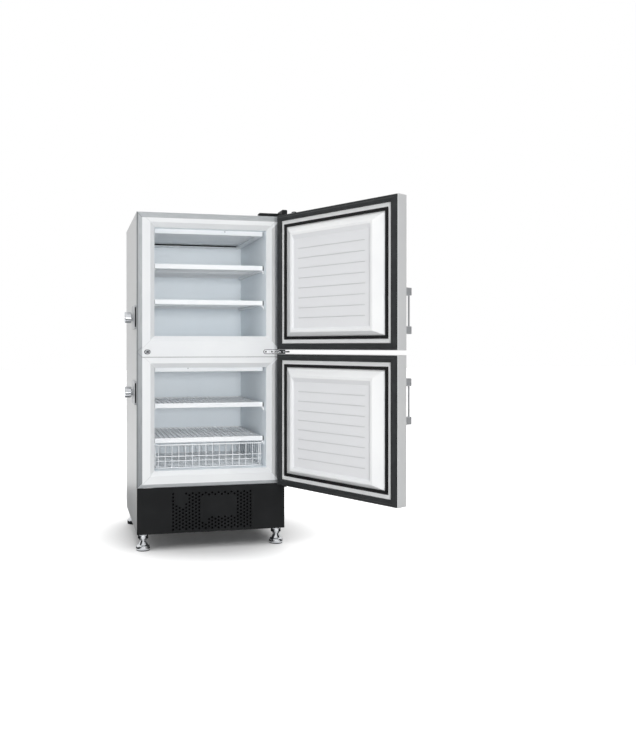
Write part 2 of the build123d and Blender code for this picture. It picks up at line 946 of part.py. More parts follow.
# Levelling feet, turned profile
def foot(across, along):
    with BuildPart() as pad:
        with BuildSketch(Plane((across, along, 0), x_dir=(1, 0, 0), z_dir=(0, -1, 0))):
            with BuildLine():
                Polyline(
                    (0, foot_height),
                    (0, 0),
                    (foot_base_radius, 0),
                    (foot_base_radius, foot_base_straight),
                    (foot_shoulder_radius, foot_base_height),
                    (foot_neck_radius, foot_base_height),
                    (foot_waist_radius, foot_waist_level),
                    (foot_waist_radius, foot_ring_level),
                    (foot_ring_radius, foot_ring_level),
                    (foot_ring_radius, foot_collar_level),
                    (foot_collar_radius, foot_collar_level),
                    (foot_collar_radius, foot_height),
                    close=True,
                )
            make_face()
        revolve(axis=Axis((across, along, 0), (0, 0, 1)))
    return pad


foot_side = half_width - foot_inset
foot_fore = front + foot_front_setback
foot_aft = rear - foot_rear_setback

foot_front_left = foot(-foot_side, foot_fore)
foot_front_left.part.label = "foot_front_left"
export_step(foot_front_left.part, "parts/foot_front_left.step")

foot_front_right = foot(foot_side, foot_fore)
foot_front_right.part.label = "foot_front_right"
export_step(foot_front_right.part, "parts/foot_front_right.step")

foot_rear_left = foot(-foot_side, foot_aft)
foot_rear_left.part.label = "foot_rear_left"
export_step(foot_rear_left.part, "parts/foot_rear_left.step")

foot_rear_right = foot(foot_side, foot_aft)
foot_rear_right.part.label = "foot_rear_right"
export_step(foot_rear_right.part, "parts/foot_rear_right.step")


# Doors, each built closed and swung open about its pins
def swung(piece):
    return piece.rotate(hinge_axis, opening_angle)


def catch(high):
    right = pivot_x - catch_inset
    left = right - catch_length
    top = high + catch_height
    block(left, right, pivot_y, pivot_y + catch_sheet, high, top)
    block(left, right, pivot_y - catch_width, pivot_y, top - catch_sheet, top)


def door_skin(low, high):
    with BuildPart() as skin:
        block(-half_width, half_width, door_outer, door_inner, low, high)
        fillet(skin.faces().sort_by(Axis.Y)[0].edges(), door_corner)
        offset(amount=-sheet, openings=skin.faces().sort_by(Axis.Y)[-1])
        with Locations((pivot_x, pivot_y, (low + high) / 2)):
            Cylinder(pin_radius + pin_clearance, high - low, mode=Mode.SUBTRACT)
        if high == upper_door_high:
            catch(high)
    skin.part = swung(skin.part)
    return skin


upper_door_skin = door_skin(upper_door_low, upper_door_high)
upper_door_skin.part.label = "upper_door_skin"
export_step(upper_door_skin.part, "parts/upper_door_skin.step")

lower_door_skin = door_skin(lower_door_low, lower_door_high)
lower_door_skin.part.label = "lower_door_skin"
export_step(lower_door_skin.part, "parts/lower_door_skin.step")

seal_outer = edge_inset + rim_width + strip_width
plug_inset_all = seal_outer + seal_width
liner_face = door_inner + trim_sheet


def door_core(low, high):
    plug_half = half_width - plug_inset_all
    plug_low = low + plug_inset_all
    plug_high = high - plug_inset_all
    top_half = plug_half - plug_side_slope
    top_low = plug_low + plug_bottom_slope
    top_high = plug_high - plug_top_slope
    plug_face = door_inner + plug_rise
    panel_half = top_half - panel_margin
    panel_height = top_high - top_low - 2 * panel_margin
    panel_middle = (top_low + top_high) / 2
    recess_height = panel_height - recess_top_slope - recess_bottom_slope
    recess_middle = panel_middle + (recess_bottom_slope - recess_top_slope) / 2
    recess_half = panel_half - recess_side_slope
    recess_face = plug_face - panel_recess
    with BuildPart() as core:
        block(
            -inner_half, inner_half,
            door_outer + sheet, door_inner,
            low + sheet, high - sheet,
        )
        fillet(core.faces().sort_by(Axis.Y)[0].edges(), door_corner - sheet)
        block(
            -half_width + edge_inset, half_width - edge_inset,
            door_inner, liner_face,
            low + edge_inset, high - edge_inset,
        )
        with BuildSketch(facing(liner_face)):
            with Locations((0, (plug_low + plug_high) / 2)):
                Rectangle(2 * plug_half, plug_high - plug_low)
        with BuildSketch(facing(plug_face)):
            with Locations((0, panel_middle)):
                Rectangle(2 * top_half, top_high - top_low)
        loft()
        with BuildSketch(facing(plug_face)):
            with Locations((0, panel_middle)):
                Rectangle(2 * panel_half, panel_height)
        with BuildSketch(facing(recess_face)):
            with Locations((0, recess_middle)):
                Rectangle(2 * recess_half, recess_height)
        loft(mode=Mode.SUBTRACT)
        with BuildSketch(facing(recess_face)):
            with Locations((0, recess_middle)):
                with GridLocations(0, recess_height / (groove_count + 1), 1, groove_count):
                    Rectangle(2 * (panel_half - groove_end_gap), groove_width)
        extrude(amount=groove_depth, mode=Mode.SUBTRACT)
        for end in (low + sheet, high - sheet):
            with Locations((pivot_x, pivot_y, end)):
                Cylinder(pin_radius + pin_room, 2 * (pin_reach + pin_room), mode=Mode.SUBTRACT)
    core.part = swung(core.part)
    return core


upper_door_core = door_core(upper_door_low, upper_door_high)
upper_door_core.part.label = "upper_door_core"
export_step(upper_door_core.part, "parts/upper_door_core.step")

lower_door_core = door_core(lower_door_low, lower_door_high)
lower_door_core.part.label = "lower_door_core"
export_step(lower_door_core.part, "parts/lower_door_core.step")


def door_ring(low, high, inset, width, height):
    with BuildSketch(facing(liner_face)) as ring:
        with Locations((0, (low + high) / 2)):
            Rectangle(2 * (half_width - inset), high - low - 2 * inset)
            Rectangle(
                2 * (half_width - inset - width), high - low - 2 * (inset + width), mode=Mode.SUBTRACT
            )
    extrude(ring.sketch, amount=-height)


def door_rim(low, high):
    with BuildPart() as rim:
        door_ring(low, high, edge_inset, rim_step, rim_outer_height)
        door_ring(low, high, edge_inset + rim_step, rim_width - rim_step, rim_height)
        chamfer(rim.faces().sort_by(Axis.Y)[-1].edges(), rim_chamfer)
    rim.part = swung(rim.part)
    return rim


upper_door_rim = door_rim(upper_door_low, upper_door_high)
upper_door_rim.part.label = "upper_door_rim"
export_step(upper_door_rim.part, "parts/upper_door_rim.step")

lower_door_rim = door_rim(lower_door_low, lower_door_high)
lower_door_rim.part.label = "lower_door_rim"
export_step(lower_door_rim.part, "parts/lower_door_rim.step")


def door_seal(low, high):
    with BuildPart() as seal:
        door_ring(low, high, seal_outer, seal_width, seal_height)
        fillet(seal.faces().sort_by(Axis.Y)[-1].edges(), seal_round)
    seal.part = swung(seal.part)
    return seal


upper_door_seal = door_seal(upper_door_low, upper_door_high)
upper_door_seal.part.label = "upper_door_seal"
export_step(upper_door_seal.part, "parts/upper_door_seal.step")

lower_door_seal = door_seal(lower_door_low, lower_door_high)
lower_door_seal.part.label = "lower_door_seal"
export_step(lower_door_seal.part, "parts/lower_door_seal.step")


def door_handle(level):
    across = -half_width + handle_inset
    left = across - handle_width / 2
    right = across + handle_width / 2
    low = level - handle_length / 2
    high = level + handle_length / 2
    bar_front = door_outer - handle_reach + bar_front_drop
    with BuildPart() as handle:
        block(left, right, door_outer - handle_reach, door_outer, low, low + handle_post)
        block(left, right, door_outer - handle_reach, door_outer, high - handle_post, high)
        fillet(handle.edges().filter_by(Axis.Y), handle_round)
        block(
            left + bar_side_step, right - bar_side_step,
            bar_front, bar_front + bar_thickness,
            low + bar_end_step, high - bar_end_step,
        )
    handle.part = swung(handle.part)
    return handle


upper_handle = door_handle(upper_latch_level + handle_spread)
upper_handle.part.label = "upper_handle"
export_step(upper_handle.part, "parts/upper_handle.step")

lower_handle = door_handle(lower_latch_level - handle_spread)
lower_handle.part.label = "lower_handle"
export_step(lower_handle.part, "parts/lower_handle.step")
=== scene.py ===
import json
import math

import bmesh
import bpy
from mathutils import Matrix, Vector


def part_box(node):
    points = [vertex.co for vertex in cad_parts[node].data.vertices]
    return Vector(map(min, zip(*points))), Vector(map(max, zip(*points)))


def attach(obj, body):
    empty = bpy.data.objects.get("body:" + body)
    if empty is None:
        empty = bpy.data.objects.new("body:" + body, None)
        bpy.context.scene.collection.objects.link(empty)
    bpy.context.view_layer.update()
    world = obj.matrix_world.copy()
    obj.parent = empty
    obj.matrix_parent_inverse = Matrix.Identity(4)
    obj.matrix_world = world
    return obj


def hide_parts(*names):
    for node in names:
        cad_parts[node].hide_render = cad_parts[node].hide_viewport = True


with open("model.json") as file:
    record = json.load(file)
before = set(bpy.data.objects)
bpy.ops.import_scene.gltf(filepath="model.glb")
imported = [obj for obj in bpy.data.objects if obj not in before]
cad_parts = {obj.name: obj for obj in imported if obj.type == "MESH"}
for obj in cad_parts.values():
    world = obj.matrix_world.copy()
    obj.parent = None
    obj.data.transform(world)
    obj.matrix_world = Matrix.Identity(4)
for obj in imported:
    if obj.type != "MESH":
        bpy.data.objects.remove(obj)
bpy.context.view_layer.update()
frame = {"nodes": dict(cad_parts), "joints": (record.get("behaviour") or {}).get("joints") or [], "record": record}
nodes = frame["nodes"]
joints = {joint["name"]: joint for joint in frame["joints"]}
print("frame loaded:", len(nodes), "nodes")

# the doors stand open at rest, turned about their pins from the closed place
hinge = joints["upper_door_hinge"]
pivot = Vector((hinge["pos_m"][0], hinge["pos_m"][1], 0))
openAngle = math.radians(-hinge["range_deg"][0])
doorTurn = (
    Matrix.Translation(pivot) @ Matrix.Rotation(openAngle, 4, "Z") @ Matrix.Translation(-pivot)
)


# shader expressions
class Sock:
    def __init__(self, shader, socket):
        self.shader = shader
        self.socket = socket

    def math(self, operation, first, second=0.0):
        return self.shader.node("Math", {"operation": operation}, {0: first, 1: second})

    def __add__(self, other):
        return self.math("ADD", self, other)

    def __sub__(self, other):
        return self.math("SUBTRACT", self, other)

    def __rsub__(self, other):
        return self.math("SUBTRACT", other, self)

    def __mul__(self, other):
        return self.math("MULTIPLY", self, other)

    def __lt__(self, other):
        return self.math("LESS_THAN", self, other)

    def __gt__(self, other):
        return self.math("GREATER_THAN", self, other)

    def __abs__(self):
        return self.math("ABSOLUTE", self)

    def least(self, other):
        return self.math("MINIMUM", self, other)

    def most(self, other):
        return self.math("MAXIMUM", self, other)

    def fade(self, low, high):  # 0 at low, 1 at high, smooth between
        return self.shader.node(
            "MapRange", {"interpolation_type": "SMOOTHSTEP"}, {0: self, 1: low, 2: high}
        )

    def spread(self, low, high):  # 0 to 1 becomes low to high
        return self * (high - low) + low

    __radd__ = __add__
    __rmul__ = __mul__


class Shader:
    def __init__(self, tree):
        self.tree = tree

    def node(self, kind, settings=None, sockets=None, out=0):
        made = self.tree.nodes.new("ShaderNode" + kind)
        for key, value in (settings or {}).items():
            setattr(made, key, value)
        for key, value in (sockets or {}).items():
            self.feed(made.inputs[key], value)
        return Sock(self, made.outputs[out])

    def feed(self, socket, value):
        if isinstance(value, Sock):
            self.tree.links.new(value.socket, socket)
        else:
            socket.default_value = value


def tone(red, green, blue):
    def linear(value):
        part = value / 255
        return part / 12.92 if part <= 0.04045 else ((part + 0.055) / 1.055) ** 2.4

    return (linear(red), linear(green), linear(blue), 1.0)


socketNames = {
    "baseColor": "Base Color",
    "metallic": "Metallic",
    "roughness": "Roughness",
    "normal": "Normal",
    "specular": "Specular IOR Level",
    "glow": "Emission Color",
    "glowStrength": "Emission Strength",
}


class Finish(Shader):
    def __init__(self, name):
        self.material = bpy.data.materials.new(name)
        self.material.use_nodes = True
        super().__init__(self.material.node_tree)
        self.surface = self.tree.nodes["Principled BSDF"]
        self.place = self.node("TexCoord", out="Object")
        axes = self.node("SeparateXYZ", None, {0: self.place})
        self.x, self.y, self.z = (Sock(self, end) for end in axes.socket.node.outputs)

    def noise(self, scale, detail=2.0, stretch=(1, 1, 1)):
        stretched = self.node("Mapping", None, {"Vector": self.place, "Scale": stretch})
        return self.node(
            "TexNoise", None, {"Vector": stretched, "Scale": scale, "Detail": detail}
        )

    def cells(self, scale):
        return self.node("TexVoronoi", None, {"Vector": self.place, "Scale": scale})

    def mix(self, mask, first, second):
        return self.node("Mix", {"data_type": "RGBA"}, {0: mask, 6: first, 7: second}, out=2)

    def blend(self, mask, limits, first, second):  # two tones, mixed where the mask fades
        return self.mix(mask.fade(*limits), tone(*first), tone(*second))

    def relief(self, height, strength, distance):
        return self.node(
            "Bump", None, {"Strength": strength, "Distance": distance, "Height": height}
        )

    def set(self, **sockets):
        for key, value in sockets.items():
            self.feed(self.surface.inputs[socketNames[key]], value)
        return self.material


# finishes: a tone is 0 to 255, a noise (scale, detail, stretch), a bump (strength, depth)
sidePaint = {
    "pale": (204, 205, 205), "deep": (200, 201, 202), "cloud": (3.0, 4.0), "blend": (0.3, 0.7),
    "peel": 850.0, "rough": (0.32, 0.44), "bump": (0.12, 0.0004),
}


def cabinetGreyFinish(s):
    f = Finish("cabinetGrey")
    cloud = f.noise(*s["cloud"])
    peel = f.noise(s["peel"])
    return f.set(
        baseColor=f.blend(cloud, s["blend"], s["deep"], s["pale"]),
        roughness=cloud.spread(*s["rough"]),
        normal=f.relief(peel, *s["bump"]),
    )


flangeSteel = {
    "light": (192, 195, 197), "dark": (164, 168, 171), "line": (96, 99, 102),
    # painted shade: the low tones darken the uprights towards the floor, and the edge tone is a dark line painted
    # along their outer edge
    "lowShadedLight": (158, 161, 163), "lowShadedDark": (134, 138, 141), "edge": (124, 127, 130),
    "width": 0.028, "lineWidth": (0.0016, 0.0006), "edgeShadeWidth": (0.0085, 0.0055),
    "streaksUp": (60.0, 3.0, (14, 14, 0.25)), "streaksAcross": (60.0, 3.0, (0.25, 14, 14)),
    "blend": (0.3, 0.7), "metallic": 0.6, "rough": (0.3, 0.5), "bump": (0.1, 0.0004),
}
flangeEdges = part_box("front_flange")


def flangeSteelFinish(s):
    f = Finish("flangeSteel")
    low, high = flangeEdges
    fromSide = high.x - abs(f.x)
    fromEnd = (f.z - low.z).least(high.z - f.z)
    upright = fromSide < fromEnd
    streaksUp = f.noise(*s["streaksUp"])
    streaksAcross = f.noise(*s["streaksAcross"])
    brushed = upright * streaksUp + (1 - upright) * streaksAcross
    corner = abs(fromSide - fromEnd)
    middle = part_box("lower_frame")[1].z + s["width"]
    joint = abs(abs(f.z - middle) - fromSide)
    onRim = (fromSide < s["width"]).most(fromEnd < s["width"])
    mitre = corner.least(joint).fade(*s["lineWidth"]) * onRim
    # painted shade: the uprights fade to the low tones towards the floor, standing in for the light falling off
    # there
    paintedFalloff = upright * f.z.fade(high.z, low.z)  # the uprights darken towards the floor
    pale = f.mix(paintedFalloff, tone(*s["light"]), tone(*s["lowShadedLight"]))
    deep = f.mix(paintedFalloff, tone(*s["dark"]), tone(*s["lowShadedDark"]))
    # painted shade: a dark line along each upright's outer edge, where the corner to the side panel turns away
    # from the light
    paintedEdgeShade = upright * fromSide.fade(*s["edgeShadeWidth"]) * (fromSide > 0)
    steel = f.mix(paintedEdgeShade, f.mix(brushed.fade(*s["blend"]), deep, pale), tone(*s["edge"]))
    return f.set(
        baseColor=f.mix(mitre, steel, tone(*s["line"])),
        metallic=s["metallic"],
        roughness=brushed.spread(*s["rough"]),
        normal=f.relief(brushed - mitre, *s["bump"]),
    )


mouldedWhite = {
    "clean": (231, 233, 234), "shade": (226, 228, 230), "line": (188, 190, 192),
    "cloud": (4.0, 3.0), "blend": (0.3, 0.7), "grain": 420.0,
    "rough": (0.28, 0.42), "bump": (0.06, 0.0003),
    "reach": 0.0225, "lineWidth": (0.0013, 0.0004), "skin": 0.0005,  # mitre lines on the face
}


def frameWhiteFinish(s):
    f = Finish("mouldedWhite")
    cloud = f.noise(*s["cloud"])
    grain = f.noise(s["grain"])
    upper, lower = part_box("upper_liner"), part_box("lower_liner")

    def beyond(box):  # height past the mouth's lower or upper edge
        return (box[0].z - s["reach"] - f.z).most(f.z - box[1].z - s["reach"])

    isUpper = f.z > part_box("lower_frame")[1].z
    past = isUpper * beyond(upper) + (1 - isUpper) * beyond(lower)
    aside = abs(f.x) - (upper[1].x + s["reach"])
    onFace = f.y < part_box("upper_frame")[0].y + s["skin"]
    mitre = abs(aside - past).fade(*s["lineWidth"]) * (past > 0) * onFace
    white = f.blend(cloud, s["blend"], s["shade"], s["clean"])
    return f.set(
        baseColor=f.mix(mitre, white, tone(*s["line"])),
        roughness=cloud.spread(*s["rough"]),
        normal=f.relief(grain - mitre, *s["bump"]),
    )


doorLiner = {
    "white": (243, 244, 244), "shade": (238, 239, 240),
    # the groove tone is painted shade for the panel's grooves
    "panel": (230, 231, 233), "paintedGrooveShade": (215, 217, 218),
    "cloud": (4.0, 3.0), "blend": (0.3, 0.7), "grain": 420.0,
    "rough": (0.3, 0.44), "bump": (0.06, 0.0003),
    "half": 0.263, "below": 0.1025, "above": 0.1205, "edge": 0.001,  # the sunk panel's outline
    "panelDepth": -0.372, "grooveDepth": (-0.3664, -0.3684),
}


def doorLinerFinish(s):
    f = Finish("doorLiner")
    cloud = f.noise(*s["cloud"])
    grain = f.noise(s["grain"])
    # places on the closed door, worked back from the open one
    fromX, fromY = f.x - pivot.x, f.y - pivot.y
    across = fromX * math.cos(openAngle) + fromY * math.sin(openAngle) + pivot.x
    depth = fromY * math.cos(openAngle) - fromX * math.sin(openAngle) + pivot.y

    def within(box):
        rise = (f.z - box[0].z - s["below"]).least(box[1].z - s["above"] - f.z)
        return rise.least(s["half"] - abs(across))

    inside = within(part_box("upper_door_core")).most(within(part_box("lower_door_core")))
    onPanel = inside.fade(-s["edge"], s["edge"]) * (depth > s["panelDepth"])
    inGroove = onPanel * depth.fade(*s["grooveDepth"])
    white = f.blend(cloud, s["blend"], s["shade"], s["white"])
    # painted shade: the grooves are painted greyer than the panel around them
    panel = f.mix(inGroove, tone(*s["panel"]), tone(*s["paintedGrooveShade"]))
    return f.set(
        baseColor=f.mix(onPanel, white, panel),
        roughness=cloud.spread(*s["rough"]),
        normal=f.relief(grain, *s["bump"]),
    )


linerBlue = {
    "wall": (243, 249, 253), "cool": (238, 245, 250), "cloud": (2.2, 4.0), "blend": (0.25, 0.75),
    "peel": 700.0, "rough": (0.32, 0.47), "bump": (0.1, 0.0003),
}


def linerBlueFinish(s):
    f = Finish("linerBlue")
    cloud = f.noise(*s["cloud"])
    peel = f.noise(s["peel"])
    return f.set(
        baseColor=f.blend(cloud, s["blend"], s["cool"], s["wall"]),
        roughness=cloud.spread(*s["rough"]),
        normal=f.relief(peel, *s["bump"]),
    )


coatedWhite = {
    "clean": (243, 245, 247), "thin": (238, 241, 244), "patch": (9.0, 2.0), "blend": (0.35, 0.75),
    "flow": (260.0, 3.0), "rough": (0.3, 0.46), "bump": (0.1, 0.0003),
}


def coatedWhiteFinish(s):
    f = Finish("coatedWhite")
    patch = f.noise(*s["patch"])
    flow = f.noise(*s["flow"])
    return f.set(
        baseColor=f.blend(patch, s["blend"], s["clean"], s["thin"]),
        roughness=patch.spread(*s["rough"]),
        normal=f.relief(flow, *s["bump"]),
    )


baseBlack = {
    "deep": (27, 28, 29), "dusty": (34, 35, 36), "dust": (7.0, 5.0), "blend": (0.35, 0.75),
    "powder": 1300.0, "rough": (0.36, 0.56), "bump": (0.18, 0.0004), "sheen": 0.12,
}


def baseBlackFinish(s):
    f = Finish("baseBlack")
    dust = f.noise(*s["dust"])
    powder = f.noise(s["powder"])
    return f.set(
        baseColor=f.blend(dust, s["blend"], s["deep"], s["dusty"]),
        roughness=dust.spread(*s["rough"]),
        normal=f.relief(powder, *s["bump"]),
        specular=s["sheen"],
    )


machineBlack = {
    "enamel": (24, 24, 26), "worn": (38, 38, 40), "wear": (38.0, 5.0), "blend": (0.5, 0.75),
    "rough": (0.2, 0.5), "bump": (0.08, 0.0004),
}


def machineBlackFinish(s):
    f = Finish("machineBlack")
    wear = f.noise(*s["wear"])
    return f.set(
        baseColor=f.blend(wear, s["blend"], s["enamel"], s["worn"]),
        roughness=wear.spread(*s["rough"]),
        normal=f.relief(wear, *s["bump"]),
    )


rimRubber = {
    "base": (41, 43, 44), "bloom": (49, 51, 52), "patch": (26.0, 4.0), "blend": (0.35, 0.75),
    "skin": 900.0, "rough": (0.42, 0.62), "bump": (0.15, 0.0003), "sheen": 0.3,
}
sealRubber = dict(rimRubber, base=(11, 11, 12), bloom=(17, 17, 18), sheen=0.25)


def rubberFinish(name, s):
    f = Finish(name)
    patch = f.noise(*s["patch"])
    skin = f.noise(s["skin"])
    return f.set(
        baseColor=f.blend(patch, s["blend"], s["base"], s["bloom"]),
        roughness=patch.spread(*s["rough"]),
        normal=f.relief(skin, *s["bump"]),
        specular=s["sheen"],
    )


polishedChrome = {
    "base": (214, 216, 219), "haze": (190, 193, 197), "film": (45.0, 5.0), "blend": (0.4, 0.8),
    "scratches": (300.0, 2.0, (1, 1, 0.06)), "rough": (0.06, 0.16), "scratchRough": 0.06,
}


def chromeFinish(s):
    f = Finish("polishedChrome")
    film = f.noise(*s["film"])
    scratches = f.noise(*s["scratches"])
    return f.set(
        baseColor=f.blend(film, s["blend"], s["base"], s["haze"]),
        metallic=1.0,
        roughness=film.spread(*s["rough"]) + scratches * s["scratchRough"],
    )


hingeSteel = {
    # painted shade: the tongue and worn tones make the hinge past the step far darker than its plate; the wear
    # noise only varies them
    "plate": (222, 223, 225), "tongue": (92, 94, 97), "worn": (126, 128, 131),
    "step": (0.371, 0.383), "wear": (70.0, 4.0), "blend": (0.4, 0.75), "rough": (0.14, 0.28),
}


def hingeSteelFinish(s):
    f = Finish("hingeSteel")
    wear = f.noise(*s["wear"])
    # painted shade: past the step, where the hinge meets the door, it is painted far darker than its plate
    shadedTongue = f.blend(wear, s["blend"], s["tongue"], s["worn"])
    return f.set(
        baseColor=f.mix(f.x.fade(*s["step"]), tone(*s["plate"]), shadedTongue),
        metallic=1.0,
        roughness=wear.spread(*s["rough"]),
    )


satinMetal = {
    "light": (192, 194, 196), "dark": (172, 174, 177), "streaks": (120.0, 3.0, (9, 9, 0.2)),
    "blend": (0.3, 0.7), "metallic": 0.4, "rough": (0.3, 0.5), "bump": (0.06, 0.0003),
}


def satinMetalFinish(s):
    f = Finish("satinHandle")
    brushed = f.noise(*s["streaks"])
    return f.set(
        baseColor=f.blend(brushed, s["blend"], s["dark"], s["light"]),
        metallic=s["metallic"],
        roughness=brushed.spread(*s["rough"]),
        normal=f.relief(brushed, *s["bump"]),
    )


castGrey = {
    "light": (190, 192, 194), "dark": (174, 176, 180), "cloud": (16.0, 3.0), "blend": (0.3, 0.7),
    "grain": (520.0, 3.0), "metallic": 0.35, "rough": (0.34, 0.5), "bump": (0.16, 0.0004),
}


def castGreyFinish(s):
    f = Finish("castGrey")
    cloud = f.noise(*s["cloud"])
    grain = f.noise(*s["grain"])
    return f.set(
        baseColor=f.blend(cloud, s["blend"], s["dark"], s["light"]),
        metallic=s["metallic"],
        roughness=grain.spread(*s["rough"]),
        normal=f.relief(grain, *s["bump"]),
    )


zincSheet = {
    "light": (188, 192, 196), "dark": (156, 161, 166), "spangle": 55.0, "blend": (0.1, 0.7),
    "drift": (12.0, 3.0), "metallic": 0.8, "rough": (0.3, 0.5), "bump": (0.05, 0.0003),
}


def zincFinish(s):
    f = Finish("zincSheet")
    spangle = f.cells(s["spangle"])
    drift = f.noise(*s["drift"])
    return f.set(
        baseColor=f.blend(spangle, s["blend"], s["light"], s["dark"]),
        metallic=s["metallic"],
        roughness=drift.spread(*s["rough"]),
        normal=f.relief(spangle, *s["bump"]),
    )


rigidFoam = {
    "light": (233, 222, 180), "dark": (214, 200, 152), "drift": (9.0, 3.0), "blend": (0.3, 0.7),
    "cell": 420.0, "rough": (0.8, 0.9), "bump": (0.5, 0.001),
}


def foamFinish(s):
    f = Finish("rigidFoam")
    drift = f.noise(*s["drift"])
    cell = f.cells(s["cell"])
    return f.set(
        baseColor=f.blend(drift, s["blend"], s["dark"], s["light"]),
        roughness=drift.spread(*s["rough"]),
        normal=f.relief(cell, *s["bump"]),
    )


# the felt's near-black tones are partly painted shade for the holes in front of it
filterFelt = {
    "deep": (7, 7, 8), "dusty": (13, 13, 14), "dust": (14.0, 4.0), "blend": (0.4, 0.8),
    "fibre": (900.0, 3.0), "rough": (0.9, 0.98), "bump": (0.4, 0.0005), "sheen": 0.04,
}


def filterFeltFinish(s):
    f = Finish("filterFelt")
    dust = f.noise(*s["dust"])
    fibre = f.noise(*s["fibre"])
    return f.set(
        baseColor=f.blend(dust, s["blend"], s["deep"], s["dusty"]),
        roughness=dust.spread(*s["rough"]),
        normal=f.relief(fibre, *s["bump"]),
        specular=s["sheen"],
    )


finishes = {
    "cabinet_grey": cabinetGreyFinish(sidePaint),
    "galvanised": zincFinish(zincSheet),
    "insulation": foamFinish(rigidFoam),
    "liner_steel": linerBlueFinish(linerBlue),
    "flange_steel": flangeSteelFinish(flangeSteel),
    "frame_white": frameWhiteFinish(mouldedWhite),
    "chrome": chromeFinish(polishedChrome),
    "coated_white": coatedWhiteFinish(coatedWhite),
    "base_black": baseBlackFinish(baseBlack),
    "machine_black": machineBlackFinish(machineBlack),
    "latch_grey": castGreyFinish(castGrey),
    "rim_rubber": rubberFinish("rimRubber", rimRubber),
    "seal_rubber": rubberFinish("sealRubber", sealRubber),
    "handle_metal": satinMetalFinish(satinMetal),
}
doors = ("upper_door", "lower_door")
linerFinish = doorLinerFinish(doorLiner)
nodeFinishes = {door + "_core": linerFinish for door in doors}
nodeFinishes["middle_hinge"] = hingeSteelFinish(hingeSteel)
feltFinish = filterFeltFinish(filterFelt)
print("finishes made:", len(finishes), "for slots,", len(nodeFinishes), "for single nodes")

# softened edges of the solids, in metres, by finish
edgeRound = {
    "cabinet_grey": 0.0006,
    "frame_white": 0.0016,
    "chrome": 0.0008,
    "coated_white": 0.0008,
    "handle_metal": 0.0012,
    "latch_grey": 0.0006,
    "flange_steel": 0.0004,
}
roundSegments = 2
sharpAngle = math.radians(50)
slotOf = {part["node"]: part["material_slot"] for part in frame["record"]["subparts"]}


def soften(piece, name, width, angle):
    soft = piece.modifiers.new(name, "BEVEL")
    soft.width = width
    soft.segments = roundSegments
    soft.limit_method = "ANGLE"
    soft.angle_limit = angle
    return soft


for name, solid in nodes.items():
    slot = slotOf[name]
    solid.data.materials.clear()
    solid.data.materials.append(nodeFinishes.get(name, finishes[slot]))
    if slot in edgeRound:
        soften(solid, "softEdges", edgeRound[slot], sharpAngle).harden_normals = True
print("solids dressed")


# mesh helpers
def addMesh(name, bm, material):
    mesh = bpy.data.meshes.new(name)
    bm.to_mesh(mesh)
    bm.free()
    mesh.materials.append(material)
    made = bpy.data.objects.new(name, mesh)
    bpy.context.scene.collection.objects.link(made)
    return made


def makePiece(name, bm, slot, body, smooth=True, material=None):
    bmesh.ops.recalc_face_normals(bm, faces=bm.faces)
    piece = addMesh(name, bm, material or finishes[slot])
    mesh = piece.data
    mesh.polygons.foreach_set("use_smooth", [smooth] * len(mesh.polygons))
    if smooth:
        mesh.set_sharp_from_angle(angle=sharpAngle)
    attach(piece, body)
    return piece


def softBox(bm, low, high, rounding):
    low, high = Vector(low), Vector(high)
    made = bmesh.ops.create_cube(bm, size=1.0)["verts"]
    bmesh.ops.scale(bm, vec=high - low, verts=made)
    bmesh.ops.translate(bm, vec=(low + high) / 2, verts=made)
    edges = {edge for vert in made for edge in vert.link_edges}
    bmesh.ops.bevel(
        bm, geom=list(edges), offset=rounding, segments=roundSegments, profile=0.5, affect="EDGES"
    )


def bridge(bm, rings, closedLoop, capped):
    pairs = list(zip(rings, rings[1:]))
    if closedLoop:
        pairs.append((rings[-1], rings[0]))
    for first, second in pairs:
        count = len(first)
        for k in range(count):
            following = (k + 1) % count
            bm.faces.new((first[k], first[following], second[following], second[k]))
    if capped:
        bm.faces.new(rings[0])
        bm.faces.new(rings[-1])


def roundPath(corners, radius, steps, closed):
    # straight runs with arcs at the corners
    points = []
    count = len(corners)
    for k, corner in enumerate(corners):
        if not closed and k in (0, count - 1):
            points.append(corner)
            continue
        into = (corners[k - 1] - corner).normalized()
        out = (corners[(k + 1) % count] - corner).normalized()
        for step in range(steps + 1):
            angle = math.radians(90) * step / steps
            back = into * radius * (1 - math.sin(angle))
            onward = out * radius * (1 - math.cos(angle))
            points.append(corner + back + onward)
    return points


nearUpright = 0.9  # a wire that rises more steeply than this counts as upright


def tube(bm, path, radius, sides, closed=False):
    rings = []
    count = len(path)
    lastUp = None
    for k, point in enumerate(path):
        before = path[k - 1] if closed or k else point
        after = path[(k + 1) % count] if closed or k < count - 1 else point
        along = (after - before).normalized()
        if lastUp is None:  # any direction that isn't the wire's own
            upright = Vector((0, 0, 1)) if abs(along.z) < nearUpright else Vector((0, 1, 0))
        else:  # carried on, so that the wire doesn't twist
            upright = lastUp - along * lastUp.dot(along)
        sideways = along.cross(upright).normalized()
        lastUp = sideways.cross(along).normalized()
        ring = []
        for step in range(sides):
            angle = 2 * math.pi * step / sides
            outward = sideways * math.cos(angle) + lastUp * math.sin(angle)
            ring.append(bm.verts.new(point + outward * radius))
        rings.append(ring)
    bridge(bm, rings, closed, not closed)


def uprightRing(bm, x, y, z, s):
    # a tube round an upright rectangle, its ends bent almost to half circles
    corners = [Vector((x[i], y, z[j])) for i, j in ((0, 0), (1, 0), (1, 1), (0, 1))]
    radius = s["bend"] * (z[1] - z[0]) / 2
    tube(bm, roundPath(corners, radius, s["steps"], True), s["wire"], s["sides"], closed=True)


